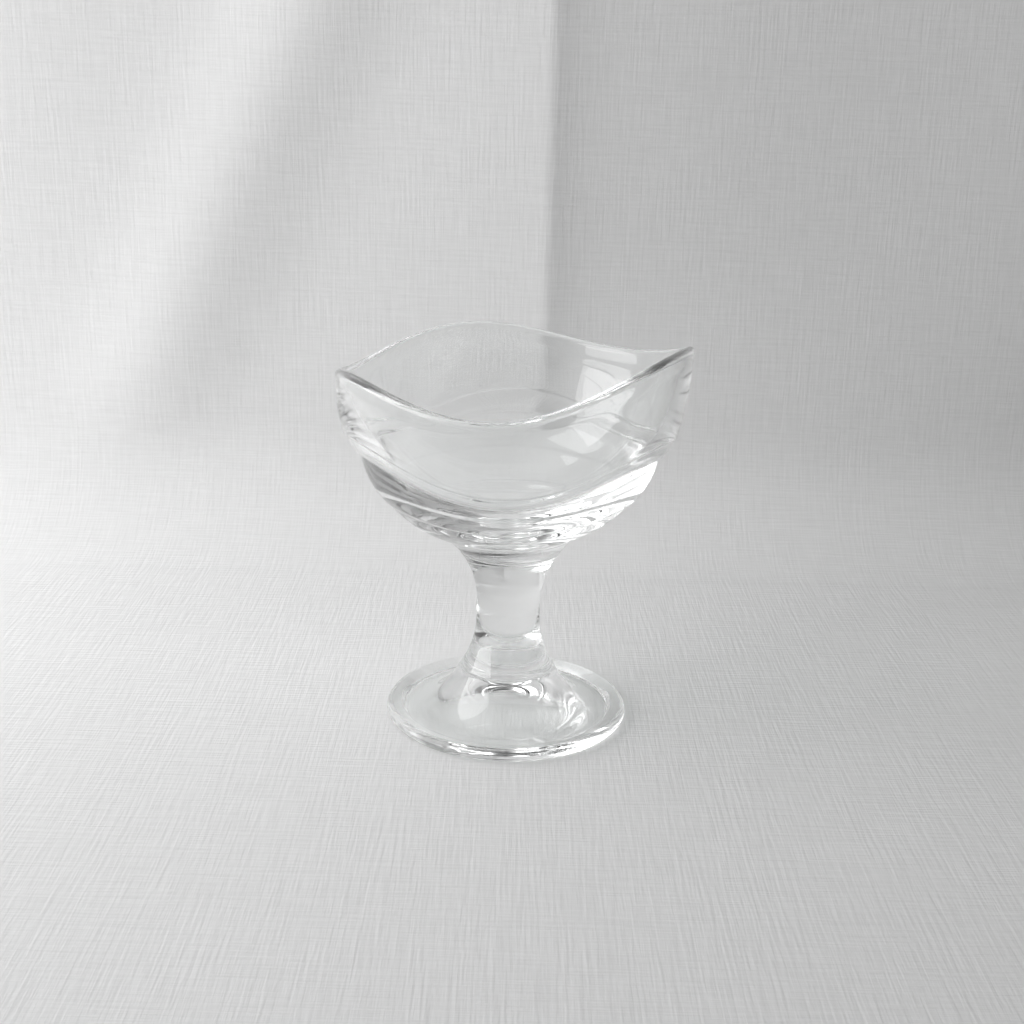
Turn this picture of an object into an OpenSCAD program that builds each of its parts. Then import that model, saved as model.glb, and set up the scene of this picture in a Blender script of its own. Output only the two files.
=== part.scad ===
// A footed parfait glass of clear pressed glass, in millimetres.
// It stands on Z = 0 with its axis on Z. Seen in the photograph, the viewer is on the -Y side and +X is to the right.
// Three gathers of glass are fused one on another: the foot, the stem and the bowl.

/* [Foot] */
// Outer diameter of the foot
foot_d = 76; // [66:1:90]
// Width of the oval bead at the foot's edge
bead_w = 6; // [5:0.5:7]
// Height of that bead
bead_h = 4.5; // [3:0.25:5]
// Width of the flat ring that the glass stands on
stand_w = 2; // [1:0.25:2.5]
// Height of the shallow hollow under the foot's plate
hollow_h = 1.2; // [0.8:0.2:2]
// Radius at which the dome under the stem has fallen to about a third
dome_r = 16; // [14:0.5:16.5]
// Height of that dome above the shallow hollow
dome_h = 9.2; // [8:0.4:12]
// How sharply the foot's collar flares out into the plate
collar_flare = 2.4; // [2:0.2:2.6]

/* [Stem] */
// Height of the fused face between foot and stem
foot_joint_z = 16; // [15.5:0.5:20]
// Radius of the fused face between foot and stem
foot_joint_r = 14.8; // [14:0.2:18]
// Height of the stem's waist
waist_z = 36; // [30:1:44]
// Diameter of the stem at its waist
waist_d = 19.8; // [14:0.2:25]
// Height of the fused face between stem and bowl
bowl_joint_z = 55; // [50:1:57]
// Radius of the fused face between stem and bowl
bowl_joint_r = 16; // [14:0.2:18]

/* [Bowl] */
// Outer radius of the smooth wall
wall_r = 52.8; // [51.6:0.2:58]
// Thickness of the wall, which is also the thickness of the rounded rim
wall_t = 3.6; // [2.4:0.2:4.4]
// Mean height of the rim's top
rim_z = 113.5; // [106:0.5:124]
// Radius of the crease where the underside leaves the stem
crease_r = 25.6; // [23:0.2:28]
// Height of that crease
crease_z = 63; // [62:0.25:64]
// Radius of the lowest step ring
ring3_r = 39; // [37.6:0.2:40.4]
// Height of the lowest step ring
ring3_z = 72; // [70.5:0.25:73.5]
// Radius of the middle step ring
ring2_r = 46; // [45:0.2:47]
// Height of the middle step ring
ring2_z = 84.2; // [83:0.25:85]
// Radius of the upper step ring
ring1_r = 49.6; // [48.8:0.2:50.6]
// Height of the upper step ring
ring1_z = 89.4; // [88.6:0.25:91]
// How far each band is set in below the one above it
step_in = 1.1; // [0.5:0.1:1.5]
// Thickness of the glass under the middle of the bowl, above the stem
floor_t = 10; // [8:0.5:12]
// How far the bowl sits to one side of the stem's axis
side_shift = 0.8; // [0:0.1:1.5]

/* [Wave] */
// Height of the three crests of the rim above its mean
crest_h = 3.6; // [0:0.2:4.4]
// Height of the wave in the upper step ring, which fades to none at the underside
band_wave_h = 4.5; // [0:0.25:5]
// Direction of the crests of the step rings
crest_dir = 88; // [0:1:120]
// How far the rim's crests are turned on from those of the step rings
crest_turn = 8; // [-15:1:15]
// How much higher one side of the rim stands
lean_h = 3.5; // [0:0.25:4.5]
// How much higher that side of the step rings stands
ring_lean_h = 0.6; // [0:0.1:1.2]
// Direction of that higher side
lean_dir = 9; // [0:1:359]
// Height of the slow wave that makes two opposite sides higher
sway_h = 2.6; // [0:0.2:3.4]
// Direction of those sides
sway_dir = 333; // [0:1:359]
// Height of the small ripple between the crests
ripple_h = 0.8; // [0:0.1:1.2]
// Direction of the ripple
ripple_dir = 28; // [0:1:89]

/* [Hidden] */
glass = [0.84, 0.9, 0.88];
columns = 64;
turn_steps = 96;

bead_mid = foot_d / 2 - bead_w / 2;
bead_start = 175;
bead_end = -60;
dome_pow = 2.6;
waist_r = waist_d / 2;
top_pow = 2.35;
bottom_pow = 2.6;
rim_out = 0.4;
rim_r = wall_t / 2;
rim_mid_r = wall_r + rim_out - rim_r;
rim_mid_z = rim_z - rim_r;
inside_r = rim_mid_r - rim_r;
inside_pow = 0.76;
floor_z = bowl_joint_z + floor_t;
neck_pow = 1.6;
crease_out = [0.35, 0.15];
under_bulge = 0.7;
lower_bulge = 1;
upper_bulge = 0.5;
step_h = 0.7;
top_step_share = 0.7;
wall_out = 0.3;
wall_pow = 2;
wall_end = 3;
wave_pow = 1.4;

function mix(a, b, t) = a + (b - a) * t;
function soft(t) = let (u = max(0, min(1, t))) u * u * (3 - 2 * u);

// A band of the outside from one ring up to the next: a chord pushed outward into a shallow bulge.
function band(low, high, bulge, steps) =
    let (run = high - low, across = [run[1], -run[0]] / norm(run))
    [for (i = [0 : steps]) let (t = i / steps) low + run * t + across * bulge * 4 * t * (1 - t)];

// Height of the rim above or below its mean, and of the step rings above or below theirs, which dies out
// toward the axis.
function rim_wave(a) = lean_h * cos(a - lean_dir) + sway_h * cos(2 * (a - sway_dir))
    + crest_h * cos(3 * (a - crest_dir - crest_turn)) + ripple_h * cos(4 * (a - ripple_dir));
function ring_wave(a, r, z) = soft(r / crease_r) * (ring_lean_h * cos(a - lean_dir) * bowl_share(z)
    + band_wave_h * cos(3 * (a - crest_dir)) * pow(max(0, min(1, (z - crease_z) / (ring1_z - crease_z))), wave_pow));

// How much of the rim's wave a height carries, and how much of the step rings' lean and of the bowl's shift.
function rim_share(z) = soft((z - ring1_z) / (rim_mid_z - ring1_z));
function bowl_share(z) = soft((z - bowl_joint_z) / (crease_z - bowl_joint_z));
function lift(a, r, z) = mix(ring_wave(a, r, z), rim_wave(a), rim_share(z));
function mid_x(z) = -side_shift * bowl_share(z) * (1 - rim_share(z));

// The bowl's section, as radius and mean height, from the fused face out, up, over the rim and down to the floor.
underside = concat(
    [for (i = [0 : 5]) let (r = mix(bowl_joint_r, crease_r, i / 5), t = i / 5)
        [r, mix(bowl_joint_z, crease_z, 1 - pow(1 - t, neck_pow))]],
    band([crease_r, crease_z] + crease_out, [ring3_r - step_in, ring3_z], under_bulge, 4));
bands = concat(
    band([ring3_r, ring3_z + step_h], [ring2_r - step_in, ring2_z], lower_bulge, 5),
    band([ring2_r, ring2_z + step_h], [ring1_r - step_in * top_step_share, ring1_z], upper_bulge, 3));
wall_low = [ring1_r + wall_out, ring1_z + step_h];
wall = [for (i = [0 : 6]) let (t = i / 6)
    [mix(wall_low[0], wall_r, 1 - pow(1 - t, wall_pow)), mix(wall_low[1], rim_mid_z - wall_end, t)]];
rim = [for (i = [0 : 6]) let (a = i * 30)
    [rim_mid_r + rim_r * cos(a), rim_mid_z + rim_r * sin(a)]];
inside = [for (i = [1 : 15]) let (t = 90 * (1 - i / 16))
    [inside_r * pow(sin(t), inside_pow), rim_mid_z - (rim_mid_z - floor_z) * cos(t)]];
outer = concat(underside, bands, wall);

// Height of the foot's underside at radius r.
function under_z(r) = let (reach = bead_mid - stand_w / 2)
    hollow_h * (1 - pow(r / reach, 2)) + dome_h * exp(-pow(r / dome_r, dome_pow)) * soft((reach - r) / bead_w);

module foot() {
    plate_r = bead_mid + bead_w / 2 * cos(bead_start);
    plate_z = bead_h / 2 * (1 + sin(bead_start));
    top = [for (i = [0 : 13]) let (t = 1 - i / 14)
        [mix(plate_r, foot_joint_r, t), plate_z + (foot_joint_z - plate_z) * pow(t, collar_flare)]];
    bead = [for (i = [0 : 14]) let (a = mix(bead_start, bead_end, i / 14))
        [bead_mid + bead_w / 2 * cos(a), bead_h / 2 * (1 + sin(a))]];
    under = [for (i = [0 : 22]) let (r = (bead_mid - stand_w / 2) * (1 - i / 22)) [r, under_z(r)]];
    color(glass)
        rotate_extrude($fn = turn_steps)
            polygon(concat([[0, foot_joint_z]], top, bead, [[bead_mid + stand_w / 2, 0]], under));
}

module stem() {
    low = [for (i = [0 : 10]) let (t = 1 - i / 10)
        [waist_r + (foot_joint_r - waist_r) * pow(t, bottom_pow), mix(waist_z, foot_joint_z, t)]];
    high = [for (i = [1 : 10]) let (t = i / 10)
        [waist_r + (bowl_joint_r - waist_r) * pow(t, top_pow), mix(waist_z, bowl_joint_z, t)]];
    color(glass)
        rotate_extrude($fn = turn_steps)
            polygon(concat([[0, foot_joint_z]], low, high, [[0, bowl_joint_z]]));
}

module bowl() {
    angles = [for (j = [0 : columns - 1]) j * 360 / columns];
    rows = [for (p = concat(outer, rim, inside)) [for (a = angles)
        [mid_x(p[1]) + p[0] * cos(a), p[0] * sin(a), p[1] + lift(a, p[0], p[1])]]];
    n = len(rows);
    points = concat([for (row = rows) each row], [[mid_x(floor_z), 0, floor_z]]);
    sides = [for (i = [0 : n - 2], j = [0 : columns - 1])
        let (k = (j + 1) % columns, a = i * columns + j, b = i * columns + k)
        each [[a, a + columns, b], [b, a + columns, b + columns]]];
    bottom = [[for (j = [0 : columns - 1]) j]];
    floor_fan = [for (j = [0 : columns - 1]) [(n - 1) * columns + j, n * columns, (n - 1) * columns + (j + 1) % columns]];
    color(glass)
        polyhedron(points = points, faces = concat(sides, bottom, floor_fan), convexity = 6);
}

foot();
stem();
bowl();
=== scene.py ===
import math

import bpy
import numpy as np
from mathutils import Matrix, Vector


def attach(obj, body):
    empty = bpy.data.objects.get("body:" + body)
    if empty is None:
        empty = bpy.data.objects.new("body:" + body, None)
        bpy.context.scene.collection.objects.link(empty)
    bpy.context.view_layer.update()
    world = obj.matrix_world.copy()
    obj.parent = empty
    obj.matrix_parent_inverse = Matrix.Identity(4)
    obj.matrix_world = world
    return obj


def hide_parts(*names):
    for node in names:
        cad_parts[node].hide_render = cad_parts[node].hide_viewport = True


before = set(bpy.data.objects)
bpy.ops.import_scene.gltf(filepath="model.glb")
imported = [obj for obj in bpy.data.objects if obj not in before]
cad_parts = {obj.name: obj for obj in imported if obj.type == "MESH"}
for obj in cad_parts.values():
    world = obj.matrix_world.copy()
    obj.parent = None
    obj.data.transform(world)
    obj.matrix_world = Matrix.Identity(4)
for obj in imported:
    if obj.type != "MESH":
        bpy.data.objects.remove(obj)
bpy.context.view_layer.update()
mm = 0.001

# Lengths of the glass are in millimetres, and its sections are the same as the CAD's.
fineness = {
    "columns": 470,  # points round the axis
    "step": 0.08, "longest": 0.9, "turn": 0.08,  # along a section: finest step, longest step, radians between points
    "melt": 0.3,  # how far the corners of a section are melted
}
columns = fineness["columns"]
angles = np.arange(columns) * 2 * np.pi / columns


def mix(a, b, t):
    return a + (b - a) * t


def soft(t):  # eases from 0 to 1
    u = np.clip(t, 0, 1)
    return u * u * (3 - 2 * u)


def band(low, high, bulge):  # a chord pushed outward into a shallow bulge
    low, high = np.array(low, float), np.array(high, float)
    run = high - low
    across = np.array([run[1], -run[0]]) / np.linalg.norm(run)
    t = np.linspace(0, 1, 40)[:, None]
    return low + run * t + across * bulge * 4 * t * (1 - t)


def evenSteps(points, step):  # the same line with points at even distances
    gone = np.r_[0, np.cumsum(np.linalg.norm(np.diff(points, axis=0), axis=1))]
    at = np.linspace(0, gone[-1], max(2, int(gone[-1] / step)))
    return np.stack([np.interp(at, gone, points[:, 0]), np.interp(at, gone, points[:, 1])], 1)


# The line with its corners melted, as glass has them, and with more points where it turns.
def rounded(points):
    step, melt = fineness["step"], fineness["melt"]
    fine = evenSteps(np.array(points, float), step)
    width = int(3 * melt / step)
    weights = np.exp(-0.5 * (np.arange(-width, width + 1) * step / melt) ** 2)
    weights /= weights.sum()
    before = 2 * fine[0] - fine[width:0:-1]
    after = 2 * fine[-1] - fine[-2 : -width - 2 : -1]
    ends = np.concatenate([before, fine, after])
    smooth = np.stack([np.convolve(ends[:, k], weights, "valid") for k in (0, 1)], 1)
    heading = np.unwrap(np.arctan2(*np.diff(smooth, axis=0).T[::-1]))
    kept, length, turned = [smooth[0]], 0.0, 0.0
    for k in range(1, len(smooth) - 1):
        length += step
        turned += abs(heading[k] - heading[k - 1])
        if length > fineness["longest"] or turned > fineness["turn"]:
            kept.append(smooth[k])
            length, turned = 0.0, 0.0
    return np.array(kept + [smooth[-1]])


def levelRows(section):
    return [
        np.stack([r * np.cos(angles), r * np.sin(angles), np.full(columns, z)], 1)
        for r, z in section
    ]


# A closed mesh through rows of points round the axis. A cap is a flat fused face, an end that is not one closes
# on the axis.
def surfacePiece(name, rows, capStart, capEnd):
    count = len(rows)
    points = np.concatenate(rows)
    faces, isCap = [], []
    for i in range(count - 1):
        for j in range(columns):
            k = (j + 1) % columns
            a, b = i * columns, (i + 1) * columns
            faces.append((a + j, a + k, b + k, b + j))
            isCap.append(False)
    tips = []
    for row, cap, flip in ((0, capStart, True), (count - 1, capEnd, False)):
        ring = [row * columns + j for j in range(columns)]
        tip = len(points) + len(tips)
        tips.append(rows[row].mean(0))
        for j in range(columns):
            face = (ring[j], ring[(j + 1) % columns], tip)
            faces.append(face[::-1] if flip else face)
            isCap.append(cap)
    points = np.concatenate([points, np.array(tips)])
    mesh = bpy.data.meshes.new(name)
    mesh.from_pydata([tuple(p) for p in points * mm], [], faces)
    mesh.validate()
    mesh.update()
    mesh.polygons.foreach_set("use_smooth", [not c for c in isCap])
    mesh.polygons.foreach_set("material_index", [int(c) for c in isCap])
    mesh.update()
    piece = bpy.data.objects.new(name, mesh)
    bpy.context.scene.collection.objects.link(piece)
    return piece


# Glass: clear and all but neutral, with faint waves and smudges. Its shadow is pale.
glass = {
    "colour": (0.985, 0.992, 0.99, 1), "ior": 1.51, "shadow": (0.80, 0.81, 0.805, 1),
    "waveScale": 90, "waveDetail": 2, "waveDepth": 0.0004,
    "smudgeScale": 60, "smudgeDetail": 5, "smudgeFrom": 0.55, "smudgeTo": 0.8,
}


def nodeMaterial(name):
    material = bpy.data.materials.new(name)
    material.use_nodes = True
    tree = material.node_tree
    tree.nodes.clear()
    return material, tree


def noise(tree, scale, detail):
    texture = tree.nodes.new("ShaderNodeTexNoise")
    texture.inputs["Scale"].default_value = scale
    texture.inputs["Detail"].default_value = detail
    return texture


def mapRange(tree, fromMin, fromMax, toMin=0.0, toMax=1.0):
    level = tree.nodes.new("ShaderNodeMapRange")
    level.inputs["From Min"].default_value = fromMin
    level.inputs["From Max"].default_value = fromMax
    level.inputs["To Min"].default_value = toMin
    level.inputs["To Max"].default_value = toMax
    return level


def clearGlass(name, waviness, smudge):
    material, tree = nodeMaterial(name)
    node = tree.nodes.new
    link = tree.links.new
    out = node("ShaderNodeOutputMaterial")
    body = node("ShaderNodeBsdfPrincipled")
    body.inputs["Base Color"].default_value = glass["colour"]
    body.inputs["Transmission Weight"].default_value = 1
    body.inputs["IOR"].default_value = glass["ior"]
    place = node("ShaderNodeTexCoord")
    slow = noise(tree, glass["waveScale"], glass["waveDetail"])
    bump = node("ShaderNodeBump")
    bump.inputs["Strength"].default_value = waviness
    bump.inputs["Distance"].default_value = glass["waveDepth"]
    link(place.outputs["Object"], slow.inputs["Vector"])
    link(slow.outputs["Fac"], bump.inputs["Height"])
    link(bump.outputs["Normal"], body.inputs["Normal"])
    hazy = noise(tree, glass["smudgeScale"], glass["smudgeDetail"])
    level = mapRange(tree, glass["smudgeFrom"], glass["smudgeTo"], 0.0, smudge)
    link(place.outputs["Object"], hazy.inputs["Vector"])
    link(hazy.outputs["Fac"], level.inputs["Value"])
    link(level.outputs["Result"], body.inputs["Roughness"])
    through = node("ShaderNodeBsdfTransparent")
    through.inputs["Color"].default_value = glass["shadow"]
    path = node("ShaderNodeLightPath")
    choose = node("ShaderNodeMixShader")
    link(path.outputs["Is Shadow Ray"], choose.inputs[0])
    link(body.outputs[0], choose.inputs[1])
    link(through.outputs[0], choose.inputs[2])
    link(choose.outputs[0], out.inputs["Surface"])
    return material


def fusedFace(name):  # nothing shows where two gathers are melted together
    material, tree = nodeMaterial(name)
    out = tree.nodes.new("ShaderNodeOutputMaterial")
    clear = tree.nodes.new("ShaderNodeBsdfTransparent")
    tree.links.new(clear.outputs[0], out.inputs["Surface"])
    return material


fused = fusedFace("fusedFace")


def finishPiece(piece, node, material):
    piece.data.materials.append(material)
    piece.data.materials.append(fused)
    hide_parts(node)
    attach(piece, "root")


# The foot: collar, sloping plate, oval edge bead, standing ring, shallow hollow and the dome under the stem.
foot = {
    "radius": 38, "beadW": 6, "beadH": 4.5, "beadStart": 175, "beadEnd": -60, "stand": 2,
    "hollow": 1.2, "domeR": 16, "domeH": 9.2, "domePower": 2.6, "hole": 0.05,
    "flare": 2.4, "jointZ": 16, "jointR": 14.8, "waviness": 0.05, "smudge": 0.04,
}
beadMid = foot["radius"] - foot["beadW"] / 2
turn = np.radians(np.linspace(foot["beadStart"], foot["beadEnd"], 90))
bead = np.stack([beadMid + foot["beadW"] / 2 * np.cos(turn), foot["beadH"] / 2 * (1 + np.sin(turn))], 1)
beadR, beadZ = bead[0]  # where the plate runs into the bead
plateR = np.linspace(foot["jointR"], beadR, 80)[:-1]
slope = ((beadR - plateR) / (beadR - foot["jointR"])) ** foot["flare"]
plate = np.stack([plateR, beadZ + (foot["jointZ"] - beadZ) * slope], 1)
ring = np.array([(beadMid + foot["stand"] / 2, 0.0), (beadMid, 0.0)])
underR = np.linspace(beadMid - foot["stand"] / 2, foot["hole"], 200)
shallow = foot["hollow"] * (1 - (underR / underR[0]) ** 2)
dome = foot["domeH"] * np.exp(-((underR / foot["domeR"]) ** foot["domePower"]))
under = np.stack([underR, shallow + dome * soft((underR[0] - underR) / foot["beadW"])], 1)
footLine = rounded(np.concatenate([plate, bead, ring, under]))
footPiece = surfacePiece("glassFoot", levelRows(footLine)[::-1], False, True)
finishPiece(footPiece, "foot", clearGlass("footGlass", foot["waviness"], foot["smudge"]))
print("foot: rows", len(footLine))

# The stem: solid and waisted.
stem = {
    "waistZ": 36, "waistR": 9.9, "lowPower": 2.6, "highPower": 2.35, "topZ": 55, "topR": 16,
    "waviness": 0.04, "smudge": 0.02,
}
part = np.linspace(1, 0, 60)
low = np.stack([stem["waistR"] + (foot["jointR"] - stem["waistR"]) * part ** stem["lowPower"],
                mix(stem["waistZ"], foot["jointZ"], part)], 1)
part = np.linspace(0, 1, 60)[1:]
high = np.stack([stem["waistR"] + (stem["topR"] - stem["waistR"]) * part ** stem["highPower"],
                 mix(stem["waistZ"], stem["topZ"], part)], 1)
stemLine = rounded(np.concatenate([low, high]))
stemPiece = surfacePiece("glassStem", levelRows(stemLine), True, True)
finishPiece(stemPiece, "stem", clearGlass("stemGlass", stem["waviness"], stem["smudge"]))
print("stem: rows", len(stemLine))

# The bowl: stepped bands and a smooth wall outside, a rounded wavy rim, a smooth inside with a thick floor.
bowl = {
    "wallR": 52.8, "wallT": 3.6, "rimZ": 113.5, "rimOut": 0.4, "wallOut": 0.3, "wallPower": 2, "wallEnd": 3,
    "ring1": (49.6, 89.4), "ring2": (46, 84.2), "ring3": (39, 72),  # radius and mean height
    "stepIn": 1.1, "stepH": 0.7, "topStep": 0.7, "upperBulge": 0.5, "lowerBulge": 1, "underBulge": 0.7,
    "creaseR": 25.6, "creaseZ": 63, "creaseOut": (0.35, 0.15), "neckPower": 1.6,
    "floorT": 10, "insidePower": 0.76, "insideTurn": (86, 0.5), "shift": 0.8, "waviness": 0.03, "smudge": 0.03,
}
wave = {
    "crest": 3.6, "turn": 8, "lean": 3.5, "leanDir": 9, "sway": 2.6, "swayDir": 333, "ripple": 0.8, "rippleDir": 28,
    "bands": 4.5, "bandsPower": 1.4, "crestDir": 88, "ringLean": 0.6,
}
rimR = bowl["wallT"] / 2
rimMidR = bowl["wallR"] + bowl["rimOut"] - rimR
rimMidZ = bowl["rimZ"] - rimR
floorZ = stem["topZ"] + bowl["floorT"]
ring1R, ring1Z = bowl["ring1"]
ring2R, ring2Z = bowl["ring2"]
ring3R, ring3Z = bowl["ring3"]
creaseR, creaseZ = bowl["creaseR"], bowl["creaseZ"]
stepIn, stepH = bowl["stepIn"], bowl["stepH"]


def wavesOf(count, height, direction):
    return height * np.cos(count * (angles - math.radians(direction)))


rimWave = (wavesOf(1, wave["lean"], wave["leanDir"]) + wavesOf(2, wave["sway"], wave["swayDir"])
           + wavesOf(3, wave["crest"], wave["crestDir"] + wave["turn"])
           + wavesOf(4, wave["ripple"], wave["rippleDir"]))


def rimShare(z):
    return soft((z - ring1Z) / (rimMidZ - ring1Z))


def bowlShare(z):
    return soft((z - stem["topZ"]) / (creaseZ - stem["topZ"]))


def bandWave(r, z):
    fade = np.clip((z - creaseZ) / (ring1Z - creaseZ), 0, 1) ** wave["bandsPower"]
    lean = wavesOf(1, wave["ringLean"], wave["leanDir"]) * bowlShare(z)
    return soft(r / creaseR) * (lean + wavesOf(3, wave["bands"], wave["crestDir"]) * fade)


def bowlRow(r, z):
    share = rimShare(z)
    lift = rimWave * share + bandWave(r, z) * (1 - share)
    middle = -bowl["shift"] * bowlShare(z) * (1 - share)
    return np.stack([middle + r * np.cos(angles), r * np.sin(angles), z + lift], 1)


part = np.linspace(0, 1, 40)
neck = np.stack([mix(stem["topR"], creaseR, part),
                 mix(stem["topZ"], creaseZ, 1 - (1 - part) ** bowl["neckPower"])], 1)
creaseOut, creaseUp = bowl["creaseOut"]
underside = band((creaseR + creaseOut, creaseZ + creaseUp), (ring3R - stepIn, ring3Z), bowl["underBulge"])
lower = band((ring3R, ring3Z + stepH), (ring2R - stepIn, ring2Z), bowl["lowerBulge"])
upper = band((ring2R, ring2Z + stepH), (ring1R - stepIn * bowl["topStep"], ring1Z), bowl["upperBulge"])
wall = np.stack([mix(ring1R + bowl["wallOut"], bowl["wallR"], 1 - (1 - part) ** bowl["wallPower"]),
                 mix(ring1Z + stepH, rimMidZ - bowl["wallEnd"], part)], 1)
turn = np.radians(np.linspace(0, 180, 60))
rim = np.stack([rimMidR + rimR * np.cos(turn), rimMidZ + rimR * np.sin(turn)], 1)
turn = np.radians(np.linspace(*bowl["insideTurn"], 120))
inside = np.stack([(rimMidR - rimR) * np.sin(turn) ** bowl["insidePower"],
                   rimMidZ - (rimMidZ - floorZ) * np.cos(turn)], 1)
outerLine = rounded(np.concatenate([neck, underside, lower, upper, wall, rim[:1]]))
rimLine = rim[1:-1:2]
innerLine = rounded(np.concatenate([rim[-1:], inside]))
bowlRows = [bowlRow(r, z) for r, z in np.concatenate([outerLine, rimLine, innerLine])]
bowlPiece = surfacePiece("glassBowl", bowlRows, True, False)
finishPiece(bowlPiece, "bowl", clearGlass("bowlGlass", bowl["waviness"], bowl["smudge"]))
print("bowl: rows", len(bowlRows))

# The stage: a pale linen cloth that runs from the table up the wall, with soft folds. Lengths are in metres.
linen = {
    "width": 2.4, "front": -1.6, "back": 0.175, "bendR": 0.05, "top": 0.9, "across": 961, "flat": 90, "up": 80,
    "left": 0.84, "right": 0.64, "paleX": -0.25, "darkX": 0.25,  # how pale it is, as painted shade: paler on the left by the window, darker to the right, and between which places it changes
    "nearY": -0.25, "farY": 0.04, "near": 0.84, "far": 1.08,  # painted shade: it darkens a little towards the front, away from the window
    "thread": 0.0011, "slub": 0.02, "threadDepth": 0.0006, "threadBump": 0.22, "streaks": (0.95, 1.03),
}
fold = {
    "x": 0.013, "height": 0.0034, "leftSide": 0.05, "rightSide": 0.016,
    "swag": 0.004, "swagX": -0.13, "swagZ": 0.12, "swagLean": 0.45, "swagWidth": 0.03, "swell": 0.0015,
}


def linenMaterial():
    material, tree = nodeMaterial("paleLinen")
    node = tree.nodes.new
    link = tree.links.new
    out = node("ShaderNodeOutputMaterial")
    weave = node("ShaderNodeBsdfPrincipled")
    weave.inputs["Roughness"].default_value = 0.95
    weave.inputs["Specular IOR Level"].default_value = 0.1
    place = node("ShaderNodeTexCoord")
    both = node("ShaderNodeMath")
    both.operation = "ADD"
    fine, long = 1 / linen["thread"], 1 / linen["slub"]
    for k, scale in enumerate(((fine, long, 1), (long, fine, 1))):
        stretch = node("ShaderNodeMapping")
        stretch.inputs["Scale"].default_value = scale
        thread = noise(tree, 1, 2)
        link(place.outputs["UV"], stretch.inputs["Vector"])
        link(stretch.outputs[0], thread.inputs["Vector"])
        link(thread.outputs["Fac"], both.inputs[k])
    bump = node("ShaderNodeBump")
    bump.inputs["Strength"].default_value = linen["threadBump"]
    bump.inputs["Distance"].default_value = linen["threadDepth"]
    link(both.outputs[0], bump.inputs["Height"])
    link(bump.outputs["Normal"], weave.inputs["Normal"])
    # Painted shade: the colour darkens from left to right and towards the front, standing in for the window's light
    # falling off; the weave streaks are the linen's own tone.
    apart = node("ShaderNodeSeparateXYZ")
    along = mapRange(tree, linen["paleX"], linen["darkX"])
    shade = node("ShaderNodeValToRGB")
    shade.color_ramp.elements[0].color = (*[linen["left"]] * 3, 1)
    shade.color_ramp.elements[1].color = (*[linen["right"]] * 3, 1)
    near = mapRange(tree, linen["nearY"], linen["farY"], linen["near"], linen["far"])
    streaks = mapRange(tree, 0.6, 1.4, *linen["streaks"])
    sideShadeAndStreaks = node("ShaderNodeVectorMath")
    sideShadeAndStreaks.operation = "MULTIPLY"
    paintedShadeAndStreaks = node("ShaderNodeVectorMath")
    paintedShadeAndStreaks.operation = "MULTIPLY"
    link(place.outputs["Object"], apart.inputs[0])
    link(apart.outputs["X"], along.inputs["Value"])
    link(along.outputs[0], shade.inputs["Fac"])
    link(both.outputs[0], streaks.inputs["Value"])
    link(shade.outputs["Color"], sideShadeAndStreaks.inputs[0])
    link(streaks.outputs[0], sideShadeAndStreaks.inputs[1])
    link(apart.outputs["Y"], near.inputs["Value"])
    link(sideShadeAndStreaks.outputs[0], paintedShadeAndStreaks.inputs[0])
    link(near.outputs[0], paintedShadeAndStreaks.inputs[1])
    link(paintedShadeAndStreaks.outputs[0], weave.inputs["Base Color"])
    gone = node("ShaderNodeBsdfTransparent")  # the cloth has one side, so it hides nothing from behind
    side = node("ShaderNodeNewGeometry")
    oneSided = node("ShaderNodeMixShader")
    link(side.outputs["Backfacing"], oneSided.inputs[0])
    link(weave.outputs[0], oneSided.inputs[1])
    link(gone.outputs[0], oneSided.inputs[2])
    link(oneSided.outputs[0], out.inputs["Surface"])
    return material


def clothLine():
    bendR, back = linen["bendR"], linen["back"]
    flat = [(y, 0.0) for y in np.linspace(linen["front"], back - bendR, linen["flat"])]
    curve = [(back - bendR + bendR * math.sin(a), bendR - bendR * math.cos(a))
             for a in np.linspace(0.1, math.pi / 2 - 0.1, 12)]
    up = [(back, z) for z in np.linspace(bendR, linen["top"], linen["up"])]
    return np.array(flat + curve + up)


def foldDepth(x, z):  # how far the hanging cloth stands out from the wall
    side = np.where(x < fold["x"], fold["leftSide"], fold["rightSide"])
    crease = fold["height"] * np.exp(-np.abs(x - fold["x"]) / side) * soft((z - 0.03) / 0.06)
    off = x - fold["swagX"] + fold["swagLean"] * (fold["swagZ"] - z)
    swag = fold["swag"] * np.exp(-((off / fold["swagWidth"]) ** 2)) * soft((z - 0.02) / 0.06)
    swell = fold["swell"] * np.sin(x * 23 + 1.1) * soft((z - 0.03) / 0.15)
    return crease + swag + swell


line = clothLine()
across = np.linspace(-linen["width"] / 2, linen["width"] / 2, linen["across"])
gone = np.r_[0, np.cumsum(np.linalg.norm(np.diff(line, axis=0), axis=1))]
clothPoints, clothFaces, clothMap = [], [], []
for (y, z), s in zip(line, gone):
    depth = foldDepth(across, z)
    clothPoints += [(x, y - d, z) for x, d in zip(across, depth)]
    clothMap += [(x, s) for x in across]
wide = len(across)
for i in range(len(line) - 1):
    for j in range(wide - 1):
        a = i * wide + j
        clothFaces.append((a, a + 1, a + wide + 1, a + wide))
clothMesh = bpy.data.meshes.new("linenCloth")
clothMesh.from_pydata(clothPoints, [], clothFaces)
clothMesh.update()
uv = clothMesh.uv_layers.new(name="weave")
for loop in clothMesh.loops:
    uv.data[loop.index].uv = clothMap[loop.vertex_index]
clothMesh.polygons.foreach_set("use_smooth", [True] * len(clothMesh.polygons))
clothMesh.materials.append(linenMaterial())
cloth = bpy.data.objects.new("linenCloth", clothMesh)
bpy.context.scene.collection.objects.link(cloth)
print("cloth done")

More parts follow.
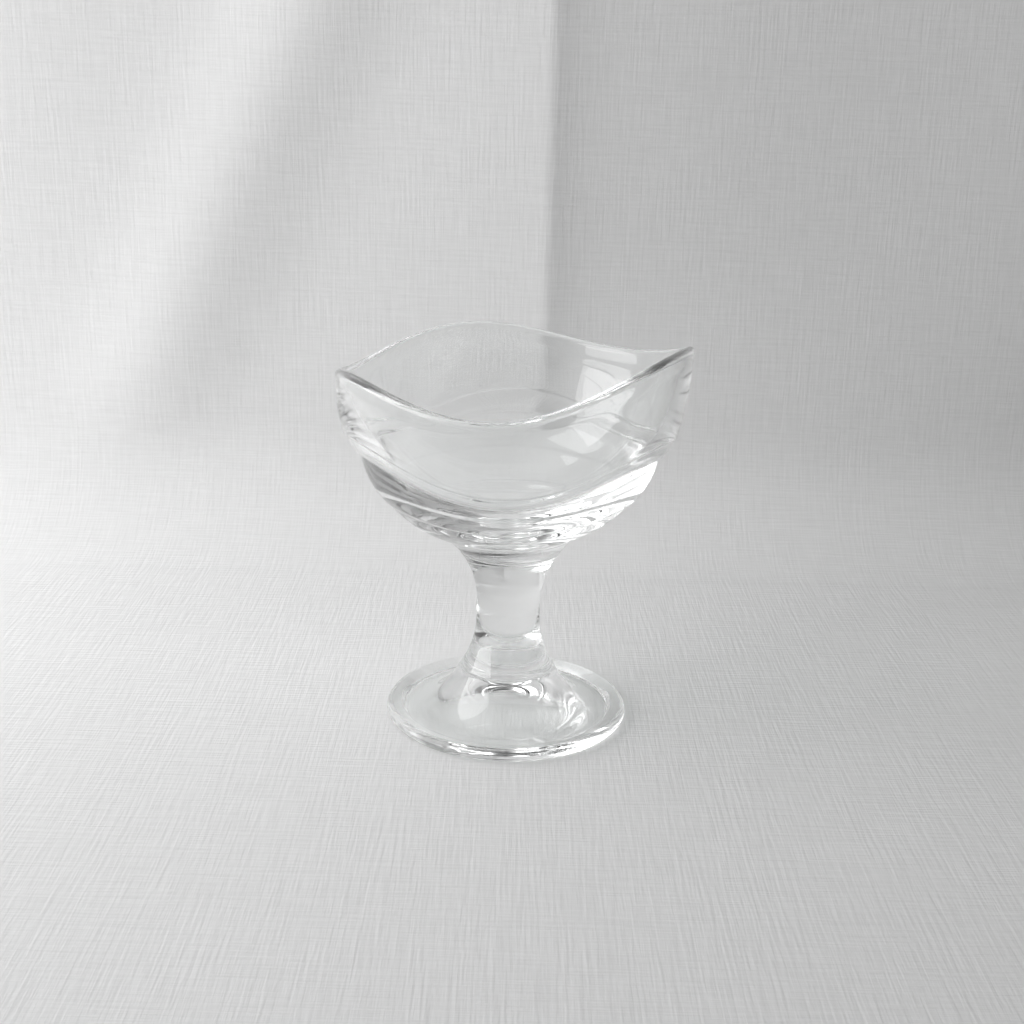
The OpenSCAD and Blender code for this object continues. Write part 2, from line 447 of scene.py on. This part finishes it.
# Light: a large window on the left.
window = {"place": (-0.95, -0.05, 0.5), "aim": (0.0, 0.0, 0.05), "size": (1.6, 1.2), "power": 17}
pane = bpy.data.lights.new("window", "AREA")
pane.shape = "RECTANGLE"
pane.size, pane.size_y = window["size"]
pane.energy = window["power"]
lamp = bpy.data.objects.new("window", pane)
lamp.location = window["place"]
lamp.rotation_euler = (Vector(window["aim"]) - Vector(window["place"])).to_track_quat("-Z", "Y").to_euler()
bpy.context.scene.collection.objects.link(lamp)
print("window done")

# The room: bright on the window's side, dark on the other.
room = {"bright": (-0.95, 0.2, 0.24), "dark": 0.07, "light": 2.2, "darkUpTo": 0.2}
world = bpy.data.worlds.new("room")
bpy.context.scene.world = world
world.use_nodes = True
worldTree = world.node_tree
worldTree.nodes.clear()
worldOut = worldTree.nodes.new("ShaderNodeOutputWorld")
glow = worldTree.nodes.new("ShaderNodeBackground")
glow.inputs["Strength"].default_value = 1
direction = worldTree.nodes.new("ShaderNodeTexCoord")
toward = worldTree.nodes.new("ShaderNodeVectorMath")
toward.operation = "DOT_PRODUCT"
toward.inputs[1].default_value = room["bright"]
spread = mapRange(worldTree, room["darkUpTo"], 1)
shade = worldTree.nodes.new("ShaderNodeValToRGB")
shade.color_ramp.elements[0].color = (*[room["dark"]] * 3, 1)
shade.color_ramp.elements[1].color = (*[room["light"]] * 3, 1)
worldTree.links.new(direction.outputs["Generated"], toward.inputs[0])
worldTree.links.new(toward.outputs["Value"], spread.inputs["Value"])
worldTree.links.new(spread.outputs["Result"], shade.inputs["Fac"])
worldTree.links.new(shade.outputs["Color"], glow.inputs["Color"])
worldTree.links.new(glow.outputs[0], worldOut.inputs["Surface"])
print("room done")

# The camera, as fitted to the foot's ellipse and the rim.
view = {"place": (0, -0.42, 0.1978), "aim": (0.0004, 0, 0.0665), "roll": 1.44, "lens": 50.33, "sensor": 36}
cameraData = bpy.data.cameras.new("camera")
cameraData.lens = view["lens"]
cameraData.sensor_width = view["sensor"]
camera = bpy.data.objects.new("camera", cameraData)
forward = (Vector(view["aim"]) - Vector(view["place"])).normalized()
level = forward.to_track_quat("-Z", "Y").to_matrix().to_4x4()
rolled = level @ Matrix.Rotation(math.radians(view["roll"]), 4, "Z")
camera.matrix_world = Matrix.Translation(Vector(view["place"])) @ rolled
bpy.context.scene.collection.objects.link(camera)
bpy.context.scene.camera = camera
bpy.context.scene.view_settings.view_transform = "Standard"

# Light runs round inside thick glass many times before it comes out.
bounces = 48
cycles = bpy.context.scene.cycles
cycles.max_bounces = cycles.glossy_bounces = cycles.transmission_bounces = bounces
cycles.transparent_max_bounces = bounces
print("camera done")
